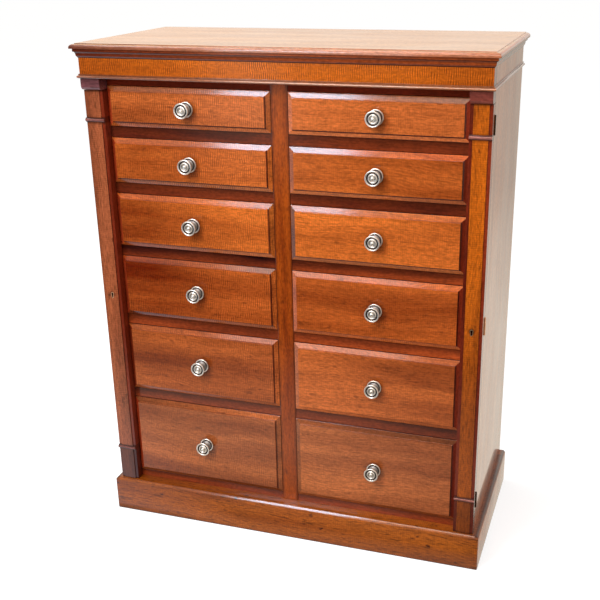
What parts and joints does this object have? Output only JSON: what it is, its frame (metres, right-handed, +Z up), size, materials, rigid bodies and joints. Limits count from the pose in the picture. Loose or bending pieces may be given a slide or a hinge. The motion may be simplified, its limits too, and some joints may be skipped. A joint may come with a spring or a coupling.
{
  "type": "wellington chest",
  "caption": "Tall mahogany chest with two columns of graduated bevelled drawers, turned metal knobs, moulded cornice, plinth and two hinged locking stiles.",
  "frame": {"origin": "centre of the bounding box's underside, on the floor", "axes": "+Z up, -Y towards the drawer fronts, +X to the viewer's right when facing the front"},
  "size_m": [1.0416, 0.4958, 1.3],
  "materials": {
    "figured_mahogany": "French-polished figured mahogany, glossy orange-brown with ripple figure",
    "straight_mahogany": "French-polished straight-grained mahogany, glossy red-brown",
    "dark_mahogany": "polished dark red-brown mahogany edges on unpolished boards",
    "secondary_wood": "pale unpolished pine, aged",
    "nickel": "aged nickel-plated brass, bright on the rims and dark in the hollows",
    "brass": "dull aged brass",
    "steel": "dull filed steel"
  },
  "bodies": {
    "carcase": {"plinth": "straight_mahogany", "centre_partition": "straight_mahogany", "astragal": "straight_mahogany", "cornice_moulding": "straight_mahogany", "frieze": "figured_mahogany", "top_board": "figured_mahogany", "bottom_board": "dark_mahogany", "upper_board": "dark_mahogany", "dust_board_1": "dark_mahogany", "dust_board_2": "dark_mahogany", "dust_board_3": "dark_mahogany", "dust_board_4": "dark_mahogany", "dust_board_5": "dark_mahogany", "back_panel": "secondary_wood", "side_left": "straight_mahogany", "hinge_fixed_left": "brass", "side_right": "straight_mahogany", "hinge_fixed_right": "brass"},
    "drawer_left_1": {"drawer_front_left_1": "figured_mahogany", "drawer_box_left_1": "secondary_wood", "knob_left_1": "nickel"},
    "drawer_left_2": {"drawer_front_left_2": "figured_mahogany", "drawer_box_left_2": "secondary_wood", "knob_left_2": "nickel"},
    "drawer_left_3": {"drawer_front_left_3": "figured_mahogany", "drawer_box_left_3": "secondary_wood", "knob_left_3": "nickel"},
    "drawer_left_4": {"drawer_front_left_4": "figured_mahogany", "drawer_box_left_4": "secondary_wood", "knob_left_4": "nickel"},
    "drawer_left_5": {"drawer_front_left_5": "figured_mahogany", "drawer_box_left_5": "secondary_wood", "knob_left_5": "nickel"},
    "drawer_left_6": {"drawer_front_left_6": "figured_mahogany", "drawer_box_left_6": "secondary_wood", "knob_left_6": "nickel"},
    "drawer_right_1": {"drawer_front_right_1": "figured_mahogany", "drawer_box_right_1": "secondary_wood", "knob_right_1": "nickel"},
    "drawer_right_2": {"drawer_front_right_2": "figured_mahogany", "drawer_box_right_2": "secondary_wood", "knob_right_2": "nickel"},
    "drawer_right_3": {"drawer_front_right_3": "figured_mahogany", "drawer_box_right_3": "secondary_wood", "knob_right_3": "nickel"},
    "drawer_right_4": {"drawer_front_right_4": "figured_mahogany", "drawer_box_right_4": "secondary_wood", "knob_right_4": "nickel"},
    "drawer_right_5": {"drawer_front_right_5": "figured_mahogany", "drawer_box_right_5": "secondary_wood", "knob_right_5": "nickel"},
    "drawer_right_6": {"drawer_front_right_6": "figured_mahogany", "drawer_box_right_6": "secondary_wood", "knob_right_6": "nickel"},
    "locking_stile_left": {"stile_left": "straight_mahogany", "hinge_moving_left": "brass"},
    "locking_stile_right": {"stile_right": "straight_mahogany", "hinge_moving_right": "brass"},
    "bolt_left": {"lock_bolt_left": "steel"},
    "bolt_right": {"lock_bolt_right": "steel"}
  },
  "joints": [
    {"name": "drawer_left_1_slide", "type": "slide", "parent": "carcase", "child": "drawer_left_1", "axis": [0, -1, 0], "range_m": [0, 0.34]},
    {"name": "drawer_left_2_slide", "type": "slide", "parent": "carcase", "child": "drawer_left_2", "axis": [0, -1, 0], "range_m": [0, 0.34]},
    {"name": "drawer_left_3_slide", "type": "slide", "parent": "carcase", "child": "drawer_left_3", "axis": [0, -1, 0], "range_m": [0, 0.34]},
    {"name": "drawer_left_4_slide", "type": "slide", "parent": "carcase", "child": "drawer_left_4", "axis": [0, -1, 0], "range_m": [0, 0.34]},
    {"name": "drawer_left_5_slide", "type": "slide", "parent": "carcase", "child": "drawer_left_5", "axis": [0, -1, 0], "range_m": [0, 0.34]},
    {"name": "drawer_left_6_slide", "type": "slide", "parent": "carcase", "child": "drawer_left_6", "axis": [0, -1, 0], "range_m": [0, 0.34]},
    {"name": "drawer_right_1_slide", "type": "slide", "parent": "carcase", "child": "drawer_right_1", "axis": [0, -1, 0], "range_m": [0, 0.34]},
    {"name": "drawer_right_2_slide", "type": "slide", "parent": "carcase", "child": "drawer_right_2", "axis": [0, -1, 0], "range_m": [0, 0.34]},
    {"name": "drawer_right_3_slide", "type": "slide", "parent": "carcase", "child": "drawer_right_3", "axis": [0, -1, 0], "range_m": [0, 0.34]},
    {"name": "drawer_right_4_slide", "type": "slide", "parent": "carcase", "child": "drawer_right_4", "axis": [0, -1, 0], "range_m": [0, 0.34]},
    {"name": "drawer_right_5_slide", "type": "slide", "parent": "carcase", "child": "drawer_right_5", "axis": [0, -1, 0], "range_m": [0, 0.34]},
    {"name": "drawer_right_6_slide", "type": "slide", "parent": "carcase", "child": "drawer_right_6", "axis": [0, -1, 0], "range_m": [0, 0.34]},
    {"name": "stile_left_hinge", "type": "hinge", "parent": "carcase", "child": "locking_stile_left", "pos_m": [-0.5042, -0.19585, 0.6577], "axis": [0, 0, -1], "range_deg": [0, 150]},
    {"name": "stile_right_hinge", "type": "hinge", "parent": "carcase", "child": "locking_stile_right", "pos_m": [0.5042, -0.19585, 0.6577], "axis": [0, 0, 1], "range_deg": [0, 150]},
    {"name": "bolt_left_slide", "type": "slide", "parent": "locking_stile_left", "child": "bolt_left", "axis": [0, 1, 0], "range_m": [0, 0.008]},
    {"name": "bolt_right_slide", "type": "slide", "parent": "locking_stile_right", "child": "bolt_right", "axis": [0, 1, 0], "range_m": [0, 0.008]}
  ]
}
